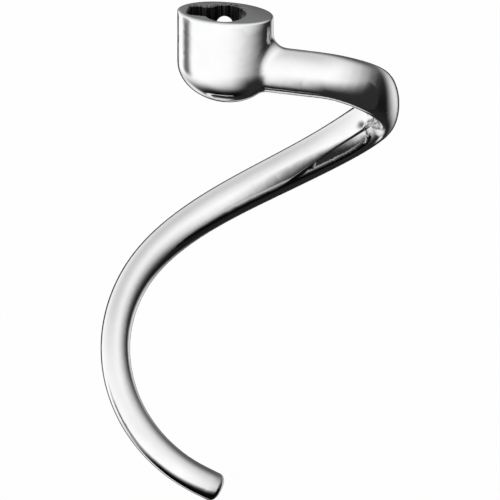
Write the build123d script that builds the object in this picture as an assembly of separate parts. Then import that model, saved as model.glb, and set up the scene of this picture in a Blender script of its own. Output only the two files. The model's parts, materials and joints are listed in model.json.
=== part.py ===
import os
from math import cos, degrees, pi, radians, sin, tan
from build123d import *

# Stand mixer dough hook, one casting. Origin on the bore axis at the hub's top face.
# +Z runs up along the bore axis and +X along the arm, away from the pin channel.

# Socket for a drive shaft with a cross pin
bore_radius = 6.45
bore_depth = 20.0
mouth_chamfer = 0.5
channel_width = 7.1
channel_reach = 12.1
channel_corner = 1.6
lock_top = 7.0
lock_height = 5.5
lock_turn = 75.0
notch_width = 5.5
notch_top = 4.3

# Hub: an upright oval round the socket, with a rounded underside
hub_half_length = 15.75
hub_wall = 1.95
hub_straight_depth = 18.3
hub_round_depth = 13.1
hub_rim_radius = 0.65

# Section of the arm and hook: a tall oval that tapers to a round rod
arm_half_height = 7.95
bend_half_height = 7.1
rod_radius = 4.75
taper_start = 66.0
taper_length = 125.0
section_count = 48
blend_radius = 5.0
tip_radius = 2.6
tip_skim = 0.06

# Centreline in plan: straight arm, half-turn bend, back sweep, front sweep and tip
arm_straight = 26.0
arm_reach = 49.1
bend_radius = 14.5
back_length = 68.7
back_width = 38.6
front_length = 27.8
front_width = 15.5
tip_run = 9.3
tip_return = 2.0

# Centreline depths below the hub's top face, in equal steps of turn
arm_slope = 0.032
bend_depths = (19.5, 23.8, 33.0, 44.0, 54.3)
back_depths = (71.1, 84.0, 97.0, 114.8)
front_depths = (137.5, 154.0)
tip_depth = 159.4

# Fold on the inner side of the bend, placed by the run along the centreline from the straight arm's end
fold_depth = 1.3
fold_start = 28.0
fold_full = 46.0
fold_fade = 60.0
fold_crest = 71.5
fold_end = 97.0

# The fold in the section, in degrees above its underside, and the lip that turns in to it
fold_start_rise = 7.0
fold_crest_rise = 86.5
fold_end_rise = 59.2
fold_lip = 8.0
lip_steepness = 2.5

quarter_turn = degrees(pi / 2)
half_turn = degrees(pi)

# Centreline beyond the straight arm, which leaves the hub where its underside starts to round
arm_line = Vector(arm_straight, 0, -arm_straight * arm_slope)
bend_x = arm_reach - bend_radius
points = [arm_line - Vector(0, 0, hub_straight_depth)]
for i, depth in enumerate(bend_depths):
    turn = pi * i / (len(bend_depths) - 1)
    points.append(Vector(bend_x + bend_radius * sin(turn), bend_radius * (1 - cos(turn)), -depth))
left_y = 2 * bend_radius - back_width
for i, depth in enumerate(back_depths):
    turn = pi / 2 * (i + 1) / len(back_depths)
    points.append(Vector(bend_x - back_length * sin(turn), left_y + back_width * cos(turn), -depth))
front_x = bend_x - back_length + front_length
for i, depth in enumerate(front_depths):
    turn = pi / 2 * (i + 1) / len(front_depths)
    points.append(Vector(front_x - front_length * cos(turn), left_y - front_width * sin(turn), -depth))
points.append(Vector(front_x + tip_run, left_y - front_width + tip_return, -tip_depth))
chords = [0.0]
for near, far in zip(points, points[1:]):
    chords.append(chords[-1] + (far - near).length)
ways = [arm_line.normalized(), (points[-1] - points[-2]).normalized()]
centreline = Edge.make_spline(points, ways, parameters=chords, scale=False)

def share_of(value, start, end):
    return min(1.0, max(0.0, (value - start) / (end - start)))

def ramp(value, start, end):
    share = share_of(value, start, end)
    return share * share * (3 - 2 * share)

def section_plane(run):
    # Square to the centreline, with local x towards the inside of the turn and local y upward
    tangent = centreline % (run / centreline.length)
    upward = Vector(0, 0, 1) - tangent * tangent.Z
    return Plane(centreline @ (run / centreline.length), x_dir=upward.cross(tangent), z_dir=tangent)

def section(run):
    height = arm_half_height + (bend_half_height - arm_half_height) * ramp(run, 0, taper_start)
    height += (rod_radius - bend_half_height) * share_of(run, taper_start, taper_start + taper_length)
    depth = fold_depth * ramp(run, fold_start, fold_full) * (1 - ramp(run, fold_fade, fold_end))
    rise = fold_crest_rise + (fold_start_rise - fold_crest_rise) * share_of(run, fold_crest, fold_start) ** 2
    rise += (fold_end_rise - fold_crest_rise) * share_of(run, fold_crest, fold_end) ** 2

    # Outer half of the oval, upper and thinner lower inner sides, and the lip that turns in to the fold
    outer = EllipticalCenterArc((0, 0), rod_radius, height, quarter_turn, arc_size=half_turn)
    upper_turn = half_turn - rise - fold_lip
    upper = EllipticalCenterArc((0, 0), rod_radius, height, quarter_turn - upper_turn, arc_size=upper_turn)
    lower = EllipticalCenterArc((0, 0), rod_radius - depth, height, -quarter_turn, arc_size=rise)
    lip_reach = 4 / 3 * tan(radians(fold_lip) / 4)
    lip_out = upper @ 0 - upper.derivative_at(0, 1) * lip_reach
    lip_in = lower @ 1 + lower.derivative_at(1, 1) * lip_reach + Vector(depth * lip_steepness / 3, 0)
    lip = Bezier(upper @ 0, lip_out, lip_in, lower @ 1)
    return section_plane(run) * Wire([outer, upper, lip, lower])

# Hub: oval prism on half of a spheroid, turned about the hub's cross axis and flattened
hub_half_width = bore_radius + hub_wall
oval = Rot(0, 0, half_turn) * Ellipse(hub_half_length, hub_half_width)
prism = extrude(Pos(0, 0, -hub_straight_depth) * oval, hub_straight_depth)
arc = EllipticalCenterArc((0, 0), hub_half_length, hub_half_width, -quarter_turn, arc_size=half_turn)
half_oval = make_face([arc, Line(arc @ 1, arc @ 0)])
belly = scale(revolve(half_oval, Axis.Y, half_turn), (1, 1, hub_round_depth / hub_half_length))
belly = Pos(0, 0, -hub_straight_depth) * belly
hub = prism + belly
hub = fillet(hub.edges().group_by(Axis.Z)[-1], hub_rim_radius)

# Straight arm blended into the hub, then the hook lofted on from its end
arm_oval = EllipticalCenterArc((0, 0), rod_radius, arm_half_height, quarter_turn / 2, arc_size=2 * half_turn)
root = Solid.extrude(section_plane(0) * make_face([arm_oval]).face(), -arm_line)
shank = hub + root
shank = fillet(new_edges(hub, root, combined=shank), blend_radius)
runs = [centreline.length * i / section_count for i in range(section_count + 1)]
hook = Solid.make_loft([section(run) for run in runs])
body = shank + hook

# Tip: corner turned off round the end, the arc just wide of the rod so that it crosses the side
tip_plane = Plane(centreline @ 1, z_dir=centreline % 1)
tip_outer = rod_radius + tip_skim
tip_inner = tip_outer - tip_radius
tip_arc = CenterArc((tip_inner, -tip_radius), tip_radius, 0, quarter_turn)
tip_rim = Polyline(tip_arc @ 1, (tip_inner, tip_radius), (tip_outer, tip_radius), tip_arc @ 0)
corner = make_face([tip_arc, tip_rim])
body -= tip_plane * revolve(Plane.XZ * corner, Axis.Z)

# Socket: bore and pin channel from above, then a lock slot round to a raised notch in the rear wall
lock_bottom = lock_top + lock_height
channel = Pos(-channel_reach / 2, 0) * Rectangle(channel_reach, channel_width)
channel = fillet(channel.vertices().group_by(Axis.X)[0], channel_corner)
bore = extrude(Circle(bore_radius), -bore_depth)
channel_cut = extrude(channel, -lock_bottom)
sweep_arc = CenterArc((0, 0), channel_reach, half_turn - lock_turn, lock_turn)
sector = make_face([sweep_arc, Polyline(sweep_arc @ 1, (0, 0), sweep_arc @ 0)])
lock_cut = extrude(Pos(0, 0, -lock_bottom) * sector, lock_height)
notch_centre = notch_top + notch_width / 2
notch = Pos(0, -notch_centre) * Circle(notch_width / 2)
notch += Pos(0, -(notch_centre + lock_bottom) / 2) * Rectangle(notch_width, lock_bottom - notch_centre)
notch_cut = Rot(0, 0, quarter_turn - lock_turn) * extrude(Plane.XZ * notch, -channel_reach)
socket = bore + channel_cut + lock_cut + notch_cut
body -= socket
top_face = body.faces().sort_by(Axis.Z)[-1]
body = chamfer(top_face.inner_wires()[0].edges(), mouth_chamfer)

os.makedirs("parts", exist_ok=True)
export_step(body, "parts/dough_hook.step")
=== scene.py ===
import json
import math
import bpy
from mathutils import Matrix, Vector

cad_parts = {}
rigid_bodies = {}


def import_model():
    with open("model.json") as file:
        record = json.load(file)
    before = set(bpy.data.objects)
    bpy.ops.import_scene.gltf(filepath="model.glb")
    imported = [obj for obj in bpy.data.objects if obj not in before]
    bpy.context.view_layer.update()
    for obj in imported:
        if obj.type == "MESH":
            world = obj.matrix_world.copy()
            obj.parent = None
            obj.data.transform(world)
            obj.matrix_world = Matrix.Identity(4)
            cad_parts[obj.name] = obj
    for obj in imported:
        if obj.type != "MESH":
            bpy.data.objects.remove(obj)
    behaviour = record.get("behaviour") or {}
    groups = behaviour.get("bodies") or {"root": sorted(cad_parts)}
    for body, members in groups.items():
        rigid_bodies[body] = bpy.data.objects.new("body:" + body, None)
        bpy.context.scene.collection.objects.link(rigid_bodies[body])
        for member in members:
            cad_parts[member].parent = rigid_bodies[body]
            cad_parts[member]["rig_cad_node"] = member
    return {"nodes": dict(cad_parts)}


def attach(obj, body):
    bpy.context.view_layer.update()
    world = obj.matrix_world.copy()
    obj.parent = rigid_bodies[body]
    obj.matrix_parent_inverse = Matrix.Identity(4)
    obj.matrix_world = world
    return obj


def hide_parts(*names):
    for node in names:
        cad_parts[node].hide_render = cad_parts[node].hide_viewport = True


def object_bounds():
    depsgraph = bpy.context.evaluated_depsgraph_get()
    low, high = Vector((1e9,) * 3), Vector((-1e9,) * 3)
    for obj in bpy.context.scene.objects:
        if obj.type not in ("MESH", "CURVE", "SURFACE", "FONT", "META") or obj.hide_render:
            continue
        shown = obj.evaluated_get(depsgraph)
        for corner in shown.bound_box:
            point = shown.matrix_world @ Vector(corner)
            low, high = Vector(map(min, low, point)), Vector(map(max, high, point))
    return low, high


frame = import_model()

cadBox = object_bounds()
mm = 0.001
print("frame loaded:", sorted(frame["nodes"]))

# the photo's view: no perspective, from above, with the arm turned a little towards it; angles are
# in degrees, and hubPixel is where the middle of the hub's top shows
photoView = {"turn": 12.0, "rise": 25.5, "mmPerPixel": 0.3225, "framePixels": 500,
             "hubPixel": (225.4, 12.6), "distance": 0.9}
turn = math.radians(photoView["turn"])
rise = math.radians(photoView["rise"])
toBack = Vector((-math.sin(turn), math.cos(turn), 0))
toRight = Vector((math.cos(turn), math.sin(turn), 0))
toUp = toBack * math.sin(rise) + Vector((0, 0, math.cos(rise)))
toCamera = Vector((0, 0, math.sin(rise))) - toBack * math.cos(rise)


def addCamera():
    pixel = photoView["mmPerPixel"] * mm
    middle = photoView["framePixels"] / 2
    across = middle - photoView["hubPixel"][0]
    down = middle - photoView["hubPixel"][1]
    aim = toRight * across * pixel - toUp * down * pixel
    data = bpy.data.cameras.new("photoCamera")
    data.type = "ORTHO"
    data.ortho_scale = photoView["framePixels"] * pixel
    camera = bpy.data.objects.new("photoCamera", data)
    bpy.context.scene.collection.objects.link(camera)
    axes = Matrix((toRight, toUp, toCamera)).transposed().to_4x4()
    camera.matrix_world = Matrix.Translation(aim + toCamera * photoView["distance"]) @ axes
    bpy.context.scene.camera = camera
    print("camera set")


def linear(hexColour):
    parts = [int(hexColour[i:i + 2], 16) / 255 for i in (1, 3, 5)]
    return [p / 12.92 if p <= 0.04045 else ((p + 0.055) / 1.055) ** 2.4 for p in parts] + [1]


def node(tree, kind, links=(), values=(), **settings):  # links and values are (input, socket or value) pairs
    made = tree.nodes.new(kind)
    for name, value in settings.items():
        setattr(made, name, value)
    for where, value in values:
        made.inputs[where].default_value = value
    for where, source in links:
        tree.links.new(source, made.inputs[where])
    return made


mixFirst, mixSecond, mixResult = 6, 7, 2  # the Mix node's colour sockets


def newMaterial(name):
    made = bpy.data.materials.new(name)
    made.use_nodes = True
    made.node_tree.nodes.clear()
    return made, made.node_tree


def finishSteel(tree, finish, pattern, relief):  # the pattern sets colour and roughness, the relief the bump
    tint = node(tree, "ShaderNodeMix", [("Factor", pattern)],
                [(mixFirst, linear(finish["colours"][0])), (mixSecond, linear(finish["colours"][1]))],
                data_type="RGBA")
    rough = node(tree, "ShaderNodeMapRange", [("Value", pattern)],
                 [("To Min", finish["roughness"][0]), ("To Max", finish["roughness"][1])])
    bump = node(tree, "ShaderNodeBump", [("Height", relief)],
                [("Strength", 1), ("Distance", finish["reliefMm"] * mm)])
    steel = node(tree, "ShaderNodeBsdfPrincipled",
                 [("Base Color", tint.outputs[mixResult]), ("Roughness", rough.outputs[0]),
                  ("Normal", bump.outputs[0])],
                 [("Metallic", 1)])
    node(tree, "ShaderNodeOutputMaterial", [("Surface", steel.outputs[0])])


# cast stainless steel, ground and buffed to a mirror: clear reflections, a faint haze from the mop
# and the slow waviness that hand buffing leaves
polish = {"colours": ("#F2F2F3", "#E9E9EA"), "roughness": (0.06, 0.11), "hazeMm": 7.0, "hazeDetail": 3,
          "waveMm": 9.0, "reliefMm": 0.0015}


def polishedSteel():
    made, tree = newMaterial("polishedStainlessSteel")
    place = node(tree, "ShaderNodeTexCoord").outputs["Object"]
    haze = node(tree, "ShaderNodeTexNoise", [("Vector", place)],
                [("Scale", 1 / (polish["hazeMm"] * mm)), ("Detail", polish["hazeDetail"])])
    wave = node(tree, "ShaderNodeTexNoise", [("Vector", place)],
                [("Scale", 1 / (polish["waveMm"] * mm)), ("Detail", 0)])
    finishSteel(tree, polish, haze.outputs["Fac"], wave.outputs["Fac"])
    return made


# the same steel on the hub's flat top, face-ground and not buffed: an even satin grey with fine straight
# lines, drawn wider than the real grit so that they show
ground = {"colours": ("#CFD0D1", "#C2C3C4"), "roughness": (0.24, 0.34), "lineMm": 0.5, "lineLengthMm": 14.0,
          "lineDetail": 2, "reliefMm": 0.002}


def groundSteel():
    made, tree = newMaterial("groundStainlessSteel")
    place = node(tree, "ShaderNodeTexCoord").outputs["Object"]
    stretch = (1 / (ground["lineLengthMm"] * mm), 1 / (ground["lineMm"] * mm), 1)
    along = node(tree, "ShaderNodeMapping", [("Vector", place)], [("Scale", stretch)])
    lines = node(tree, "ShaderNodeTexNoise", [("Vector", along.outputs[0])],
                 [("Scale", 1), ("Detail", ground["lineDetail"])])
    finishSteel(tree, ground, lines.outputs["Fac"], lines.outputs["Fac"])
    return made


# the socket's walls, broached and left unpolished: upright tool streaks over a very dark base colour, which
# is painted shade for the deep recess
streaksAndShade = {"colours": ("#2E2F31", "#8E8F91"), "roughness": (0.28, 0.42), "streakMm": 0.55, "streakDetail": 2,
            "streakRange": (0.35, 0.65), "reliefMm": 0.03}


def streakedSteelPaintedShade():
    made, tree = newMaterial("broachedSteelWithPaintedShade")
    place = node(tree, "ShaderNodeTexCoord").outputs["Object"]
    perStreak = 1 / (streaksAndShade["streakMm"] * mm)
    upright = node(tree, "ShaderNodeMapping", [("Vector", place)], [("Scale", (perStreak, perStreak, 0))])
    streaks = node(tree, "ShaderNodeTexNoise", [("Vector", upright.outputs[0])],
                   [("Scale", 1), ("Detail", streaksAndShade["streakDetail"])])
    sharper = node(tree, "ShaderNodeMapRange", [("Value", streaks.outputs["Fac"])],
                   [("From Min", streaksAndShade["streakRange"][0]), ("From Max", streaksAndShade["streakRange"][1])])
    finishSteel(tree, streaksAndShade, sharper.outputs[0], sharper.outputs[0])
    return made


# the casting: the CAD shape with its faces joined, so that reflections run across them without seams
casting = {"name": "hookCasting", "joinMm": 0.002, "sharpAngle": 30, "hubHalfLengthMm": 15.75,
           "hubHalfWidthMm": 8.4, "skinMm": 1.0, "socketDepthMm": 20.1, "flatUp": 0.999}
# the first stretch of the hook, from the straight arm's end, dressed to a true oval round a curved centreline
# that leaves each end the way given; only vertices within reach of it are moved
armEnd = {"startMm": (26.0, 0.0, -19.132), "startWay": (0.9995, 0.0, -0.032),
          "endMm": (35.8277, 0.167, -19.7131), "endWay": (0.9674, 0.1614, -0.1952), "lengthMm": 9.878,
          "halfWidthMm": 4.75, "startHalfHeightMm": 7.95, "endHalfHeightMm": 7.899,
          "reachMm": 10.0, "reachShare": 1.2, "slides": 6}


def dressArmEnd(mesh):
    start, end = Vector(armEnd["startMm"]) * mm, Vector(armEnd["endMm"]) * mm
    length = armEnd["lengthMm"] * mm
    startPull, endPull = Vector(armEnd["startWay"]) * length, Vector(armEnd["endWay"]) * length
    halfWidth = armEnd["halfWidthMm"] * mm
    for vertex in mesh.vertices:
        share = (vertex.co - start).dot(startPull) / startPull.length_squared
        if not 0 < share < armEnd["reachShare"]:
            continue
        if (vertex.co - start.lerp(end, share)).length > armEnd["reachMm"] * mm:
            continue
        for slide in range(armEnd["slides"]):  # along the curved centreline until it is level with the vertex
            s, t = share, 1 - share
            centre = start * (1 + 2 * s) * t * t + startPull * s * t * t
            centre += end * s * s * (3 - 2 * s) - endPull * s * s * t
            way = (end - start) * 6 * s * t + startPull * t * (1 - 3 * s) + endPull * s * (3 * s - 2)
            way.normalize()
            share += (vertex.co - centre).dot(way) / length
        if not 0 < share < 1:
            continue
        up = (Vector((0, 0, 1)) - way * way.z).normalized()
        side = up.cross(way)
        halfHeight = (armEnd["startHalfHeightMm"] * (1 - share) + armEnd["endHalfHeightMm"] * share) * mm
        across, high = (vertex.co - centre).dot(side), (vertex.co - centre).dot(up)
        swell = math.hypot(across / halfWidth, high / halfHeight)
        vertex.co = centre + (side * across + up * high) / swell


def addCasting():
    cadNode = frame["nodes"]["dough_hook"]
    bpy.ops.object.select_all(action="DESELECT")
    bpy.context.view_layer.objects.active = cadNode
    cadNode.select_set(True)
    bpy.ops.object.duplicate()
    hook = bpy.context.object
    hook.name = casting["name"]
    del hook["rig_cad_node"]  # the copy is a piece of the scene, not the CAD node
    bpy.ops.mesh.customdata_custom_splitnormals_clear()
    bpy.ops.object.mode_set(mode="EDIT")
    bpy.ops.mesh.select_all(action="SELECT")
    bpy.ops.mesh.remove_doubles(threshold=casting["joinMm"] * mm)
    bpy.ops.object.mode_set(mode="OBJECT")
    dressArmEnd(hook.data)
    bpy.ops.object.shade_smooth_by_angle(angle=math.radians(casting["sharpAngle"]))

    # ground on the hub's flat top, broached and darkened with painted shade inside the hub's skin, polished
    # elsewhere
    hook.data.materials.clear()
    for finish in (polishedSteel(), groundSteel(), streakedSteelPaintedShade()):
        hook.data.materials.append(finish)
    polishedSlot, groundSlot, paintedShadeSlot = range(3)
    halfLength = (casting["hubHalfLengthMm"] - casting["skinMm"]) * mm
    halfWidth = (casting["hubHalfWidthMm"] - casting["skinMm"]) * mm
    for face in hook.data.polygons:
        x, y, z = face.center
        # faces inside the hub's skin, down to the socket's depth, get the painted shade of the socket
        inShadedSocket = (x / halfLength) ** 2 + (y / halfWidth) ** 2 < 1 and z > -casting["socketDepthMm"] * mm
        onTop = face.normal.z > casting["flatUp"] and z > -casting["joinMm"] * mm
        face.material_index = groundSlot if onTop else paintedShadeSlot if inShadedSocket else polishedSlot
    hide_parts("dough_hook")
    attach(hook, "root")
    print("casting made:", len(hook.data.polygons), "faces")


# the surroundings that only reflections show: an open level with soft round cards over it, each by degrees
# off the photo camera's line, degrees round it from the right, degrees of full card, degrees of soft edge,
# and grey; later cards lie over earlier ones
surround = {"openLevel": 1.16,
            "cards": {"ceiling": (116, 73, 2, 66, 0.0),
                      "leftScreen": (68, 118, 2, 90, 0.68),
                      "rightFlag": (115, -15, 16, 100, 0.04),
                      "lowRightFlag": (118, -58, 22, 58, 0.01),
                      "table": (126, -96, 18, 36, 0.02),
                      "lowRim": (130, -101, 2, 9, 0.9),
                      "lowLeftRim": (138, -130, 6, 16, 0.95),
                      "leftTable": (98, -154, 3, 15, 0.18),
                      "rightRim": (143, -4, 2, 36, 0.85),
                      "behind": (167, 140, 28, 13, 0.03)}}


def addWorld():
    world = bpy.data.worlds.new("studioWorld")
    bpy.context.scene.world = world
    world.use_nodes = True
    tree = world.node_tree
    tree.nodes.clear()
    way = node(tree, "ShaderNodeTexCoord").outputs["Generated"]
    openGrey = [surround["openLevel"]] * 3 + [1]
    light = None
    for off, around, full, edge, grey in surround["cards"].values():
        off, around = math.radians(off), math.radians(around)
        aside = toRight * math.cos(around) + toUp * math.sin(around)
        towards = toCamera * math.cos(off) + aside * math.sin(off)
        near = node(tree, "ShaderNodeVectorMath", [(0, way)], [(1, towards)], operation="DOT_PRODUCT")
        angle = node(tree, "ShaderNodeMath", [(0, near.outputs["Value"])], operation="ARCCOSINE")
        share = node(tree, "ShaderNodeMapRange", [("Value", angle.outputs[0])],
                     [("From Min", math.radians(full + edge)), ("From Max", math.radians(full))],
                     interpolation_type="SMOOTHSTEP")
        mixed = node(tree, "ShaderNodeMix", [("Factor", share.outputs[0])],
                     [(mixFirst, openGrey), (mixSecond, [grey] * 3 + [1])], data_type="RGBA")
        if light is not None:
            tree.links.new(light, mixed.inputs[mixFirst])
        light = mixed.outputs[mixResult]
    path = node(tree, "ShaderNodeLightPath")
    reflected = node(tree, "ShaderNodeBackground", [("Color", light)])
    plain = node(tree, "ShaderNodeBackground", values=[("Color", (1, 1, 1, 1))])
    both = node(tree, "ShaderNodeMixShader",
                [("Fac", path.outputs["Is Glossy Ray"]), (1, plain.outputs[0]), (2, reflected.outputs[0])])
    node(tree, "ShaderNodeOutputWorld", [("Surface", both.outputs[0])])
    print("world set:", len(surround["cards"]), "cards")


# a pale floor, mostly its own white, so that it is as light as the background and takes only a faint shadow;
# reflections don't show it
stand = {"dropMm": 80.0, "size": 3.0, "colour": "#F7F7F7", "ownWhite": 0.85}


def addFloor():
    bpy.ops.object.select_all(action="DESELECT")
    bpy.ops.mesh.primitive_plane_add(size=stand["size"], location=(0, 0, cadBox[0][2] - stand["dropMm"] * mm))
    floor = bpy.context.object
    floor.name = "floor"
    floor.visible_glossy = False
    made, tree = newMaterial("paleFloor")
    pale = node(tree, "ShaderNodeBsdfDiffuse", values=[("Color", linear(stand["colour"]))])
    white = node(tree, "ShaderNodeEmission")
    both = node(tree, "ShaderNodeMixShader", [(1, pale.outputs[0]), (2, white.outputs[0])],
                [("Fac", stand["ownWhite"])])
    node(tree, "ShaderNodeOutputMaterial", [("Surface", both.outputs[0])])
    floor.data.materials.append(made)
    print("floor laid")


# dark flags under the arm and under the tip, seen only in reflections from above them, each fading in over
# the stretches given from its middle at its left and front edges
flags = {"underArm": {"middleMm": (117, -35, -55), "tilt": -46, "halfMm": (120, 48),
                      "leftEdgeMm": (-115, -88), "frontEdgeMm": (-36, 10), "cloth": "#303030"},
         "underTip": {"middleMm": (0, -75, -200), "tilt": 0, "halfMm": (150, 60),
                      "leftEdgeMm": (-140, -55), "frontEdgeMm": (-55, 25), "cloth": "#0A0A0A"}}


def addFlag(name, setting):
    bpy.ops.object.select_all(action="DESELECT")
    bpy.ops.mesh.primitive_plane_add(size=2 * mm, location=Vector(setting["middleMm"]) * mm,
                                     rotation=(math.radians(setting["tilt"]), 0, 0))
    flag = bpy.context.object
    flag.scale = setting["halfMm"] + (1,)  # the plane starts with a half-width of 1 mm
    bpy.ops.object.transform_apply(location=False, rotation=False, scale=True)
    flag.name = name + "Flag"
    flag.visible_camera = flag.visible_diffuse = flag.visible_shadow = False
    made, tree = newMaterial(name + "FlagCloth")
    place = node(tree, "ShaderNodeTexCoord").outputs["Object"]
    apart = node(tree, "ShaderNodeSeparateXYZ", [("Vector", place)])
    geometry = node(tree, "ShaderNodeNewGeometry")
    share = node(tree, "ShaderNodeMath", [(1, geometry.outputs["Backfacing"])], [(0, 1)],
                 operation="SUBTRACT")
    for axis, (clearMm, fullMm) in enumerate((setting["leftEdgeMm"], setting["frontEdgeMm"])):
        fade = node(tree, "ShaderNodeMapRange", [("Value", apart.outputs[axis])],
                    [("From Min", clearMm * mm), ("From Max", fullMm * mm)], interpolation_type="SMOOTHSTEP")
        share = node(tree, "ShaderNodeMath", [(0, share.outputs[0]), (1, fade.outputs[0])],
                     operation="MULTIPLY")
    clear = node(tree, "ShaderNodeBsdfTransparent")
    cloth = node(tree, "ShaderNodeBsdfDiffuse", values=[("Color", linear(setting["cloth"]))])
    both = node(tree, "ShaderNodeMixShader",
                [("Fac", share.outputs[0]), (1, clear.outputs[0]), (2, cloth.outputs[0])])
    node(tree, "ShaderNodeOutputMaterial", [("Surface", both.outputs[0])])
    flag.data.materials.append(made)
    print("flag set:", name)


addCamera()
addCasting()
addWorld()
addFloor()
for name, setting in flags.items():
    addFlag(name, setting)
bpy.context.scene.view_settings.view_transform = "Standard"
